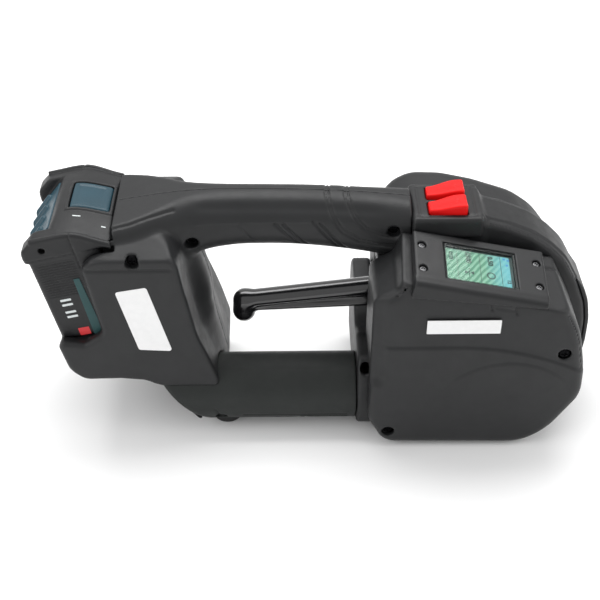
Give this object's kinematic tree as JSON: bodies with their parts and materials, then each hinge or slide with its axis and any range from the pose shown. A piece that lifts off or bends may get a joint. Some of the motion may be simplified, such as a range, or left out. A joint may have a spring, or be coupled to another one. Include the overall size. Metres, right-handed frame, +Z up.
{
  "type": "battery strapping tool",
  "caption": "Handheld cordless strapping tool with battery dock, grip handle, pull lever, motor bar, belt and gear drives, tension wheel, friction-weld shoe and screen panel.",
  "frame": {"origin": "underside of the base plate, in the handle's centre plane, below the gear head", "axes": "+X runs forwards from the battery to the head's nose, +Z up, and the side with the screen faces -Y"},
  "size_m": [0.3356, 0.1243, 0.15],
  "materials": {
    "casing": "fine spark-textured moulded nylon",
    "panel_plastic": "fine satin moulding",
    "battery_plastic": "textured moulding with smooth lands",
    "teal_plastic": "satin moulding",
    "red_plastic": "satin gloss keys",
    "black_plastic": "moulded",
    "lever_plastic": "glossy black enamel over metal",
    "label_white": "blank film label",
    "screen_glass": "clear window",
    "screen_face": "lit liquid crystal face",
    "board": "solder-masked board",
    "cell_wrap": "shrink film over steel cells",
    "foot_rubber": "moulded foot",
    "belt_rubber": "reinforced toothed belt",
    "contact_brass": "stamped blades",
    "alloy": "machined and die-cast",
    "steel": "ground plate and drawn rod",
    "core_steel": "stacked laminations",
    "hard_steel": "hardened and ground",
    "screw_steel": "black oxide screws"
  },
  "bodies": {
    "frame": {"handle_shell_near": "casing", "handle_shell_far": "casing", "handle_screws": "screw_steel", "dock_plate": "casing", "dock_contacts": "contact_brass", "motor_bar": "casing", "bar_foot": "foot_rubber", "motor_can": "steel", "stator_poles": "core_steel", "drive_belt": "belt_rubber", "belt_case": "casing", "spine_cover": "casing", "near_cover": "casing", "far_cover": "casing", "nose_cap": "casing", "panel_bezel": "panel_plastic", "screen_glass": "screen_glass", "screen_module": "screen_face", "panel_screws": "screw_steel", "control_board": "board", "button_switches": "black_plastic", "switch_bracket": "black_plastic", "base_plate": "steel", "anvil_pad": "hard_steel", "chassis_near": "alloy", "chassis_far": "alloy", "tie_bars": "steel", "rear_bulkhead": "alloy", "shaft_bearings": "hard_steel", "cover_screws": "screw_steel", "spring_seat": "alloy", "rocker_spring": "steel", "press_posts": "steel", "strap_guides": "steel", "lever_pin": "hard_steel", "cover_label": "label_white", "dock_label": "label_white"},
    "rotor": {"motor_shaft": "hard_steel", "rotor_core": "core_steel", "bevel_pinion": "hard_steel", "motor_pulley": "alloy", "cooling_fan": "black_plastic"},
    "cross": {"cross_shaft": "hard_steel", "bevel_gear": "hard_steel"},
    "rocker": {"rocker_arm": "alloy", "wheel_axle": "hard_steel"},
    "drive": {"drive_pinion": "hard_steel"},
    "wheel": {"wheel_gear": "hard_steel", "tension_wheel": "hard_steel"},
    "weld_drive": {"weld_shaft": "hard_steel", "weld_pulley": "alloy"},
    "press": {"weld_press": "alloy", "cutter_blade": "hard_steel"},
    "shoe": {"weld_shoe": "hard_steel"},
    "hand_lever": {"lever": "lever_plastic"},
    "tension_key": {"tension_button": "red_plastic"},
    "weld_key": {"weld_button": "red_plastic"},
    "battery": {"battery_case": "battery_plastic", "battery_cells": "cell_wrap"},
    "battery_release": {"battery_latch": "teal_plastic"}
  },
  "joints": [
    {"name": "motor_spin", "type": "hinge", "parent": "frame", "child": "rotor", "pos_m": [-0.06, -0.029, 0.0245], "axis": [1, 0, 0], "continuous": true},
    {"name": "cross_spin", "type": "hinge", "parent": "frame", "child": "cross", "pos_m": [-0.008, 0, 0.0245], "axis": [0, 1, 0], "continuous": true},
    {"name": "lever_pull", "type": "hinge", "parent": "frame", "child": "hand_lever", "pos_m": [-0.042, 0, 0.08], "axis": [0, 1, 0], "range_deg": [0, 18], "stiffness_Nm_per_rad": 0.6, "springref_deg": -11.46},
    {"name": "rocker_lift", "type": "hinge", "parent": "frame", "child": "rocker", "pos_m": [-0.008, 0, 0.0245], "axis": [0, -1, 0], "range_deg": [0, 6], "deforming": ["rocker_spring"]},
    {"name": "drive_spin", "type": "hinge", "parent": "rocker", "child": "drive", "pos_m": [-0.008, 0, 0.0245], "axis": [0, 1, 0], "continuous": true},
    {"name": "wheel_spin", "type": "hinge", "parent": "rocker", "child": "wheel", "pos_m": [0.02695, 0, 0.02633], "axis": [0, 1, 0], "continuous": true},
    {"name": "weld_spin", "type": "hinge", "parent": "frame", "child": "weld_drive", "pos_m": [-0.06, 0.03, 0.05], "axis": [1, 0, 0], "continuous": true},
    {"name": "press_down", "type": "slide", "parent": "frame", "child": "press", "axis": [0, 0, -1], "range_m": [0, 0.0025], "stiffness_N_per_m": 2000, "springref_m": -0.002},
    {"name": "shoe_rub", "type": "slide", "parent": "press", "child": "shoe", "axis": [0, 1, 0], "range_m": [-0.001, 0.001], "stiffness_N_per_m": 1000},
    {"name": "tension_key_press", "type": "slide", "parent": "frame", "child": "tension_key", "axis": [0, 0, -1], "range_m": [0, 0.0025], "stiffness_N_per_m": 400, "springref_m": -0.002},
    {"name": "weld_key_press", "type": "slide", "parent": "frame", "child": "weld_key", "axis": [0, 0, -1], "range_m": [0, 0.0025], "stiffness_N_per_m": 400, "springref_m": -0.002},
    {"name": "battery_slide", "type": "slide", "parent": "frame", "child": "battery", "axis": [-0.2181, 0, 0.9759], "range_m": [0, 0.115]},
    {"name": "latch_press", "type": "slide", "parent": "battery", "child": "battery_release", "axis": [0.2181, 0, -0.9759], "range_m": [0, 0.0025], "stiffness_N_per_m": 300, "springref_m": -0.002}
  ],
  "couplings": [
    {"joint": "cross_spin", "follows": "motor_spin", "ratio": 0.5},
    {"joint": "drive_spin", "follows": "motor_spin", "ratio": 0.5},
    {"joint": "wheel_spin", "follows": "motor_spin", "ratio": -0.375},
    {"joint": "weld_spin", "follows": "motor_spin", "ratio": 1.2},
    {"joint": "rocker_lift", "follows": "lever_pull", "ratio": 0.33333}
  ]
}
